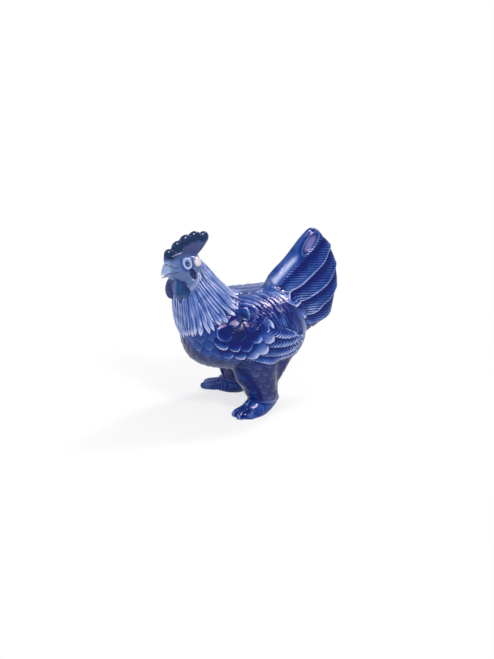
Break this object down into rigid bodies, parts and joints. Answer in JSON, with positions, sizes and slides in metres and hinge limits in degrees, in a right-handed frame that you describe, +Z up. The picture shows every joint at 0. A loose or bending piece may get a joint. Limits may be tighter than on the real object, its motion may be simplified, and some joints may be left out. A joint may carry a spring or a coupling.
{
  "type": "hen figurine",
  "caption": "Standing hen figurine in one glazed ceramic piece, with a raised fan tail, lobed comb, folded wings and splayed feet.",
  "frame": {"origin": "middle of the bounding box, on the plane of the soles", "axes": "-X is where the beak points, -Y is the hen's left side, +Z is up"},
  "size_m": [0.1086, 0.064, 0.1058],
  "materials": {
    "cobalt_glaze": "glossy cobalt blue glaze, dark in the grooves and pale on the ridges, over white earthenware"
  },
  "bodies": {
    "root": {"hen": "cobalt_glaze"}
  },
  "joints": []
}
